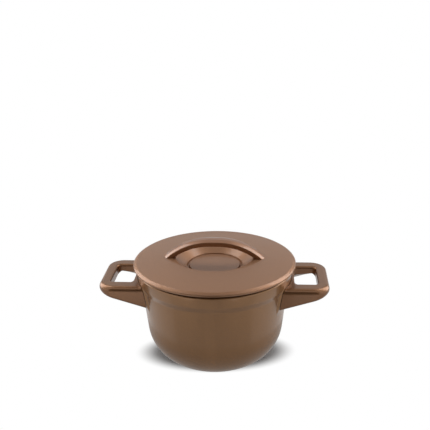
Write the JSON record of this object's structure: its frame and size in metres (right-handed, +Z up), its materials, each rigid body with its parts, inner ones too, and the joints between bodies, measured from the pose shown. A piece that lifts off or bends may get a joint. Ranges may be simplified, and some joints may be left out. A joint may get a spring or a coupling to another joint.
{
  "type": "casserole pan",
  "caption": "Small round casserole pan with a lift-off domed lid, an arched lid grip over a sunken finger well and loop side handles, coated in satin bronze.",
  "frame": {"origin": "middle of the flat base, on the surface that the pan stands on", "axes": "+X through the right handle, +Z up along the pot's axis"},
  "size_m": [0.238, 0.17, 0.1325],
  "materials": {
    "pot_coating": "cast, with a satin metallic bronze coating",
    "handle_coating": "cast, with a satin metallic bronze coating",
    "lid_coating": "cast, with a satin metallic bronze coating",
    "grip_coating": "cast, with a satin metallic bronze coating",
    "screw_steel": "turned stainless steel",
    "washer_steel": "stamped stainless steel"
  },
  "bodies": {
    "pot": {"pot_body": "pot_coating", "handle_left": "handle_coating", "handle_right": "handle_coating", "handle_screws_left": "screw_steel", "handle_screws_right": "screw_steel"},
    "lid": {"lid_shell": "lid_coating", "lid_grip": "grip_coating", "grip_screws": "screw_steel", "grip_washers": "washer_steel"}
  },
  "joints": [
    {"name": "lid_lift", "type": "slide", "parent": "pot", "child": "lid", "axis": [0, 0, 1], "range_m": [0, 0.15]}
  ]
}
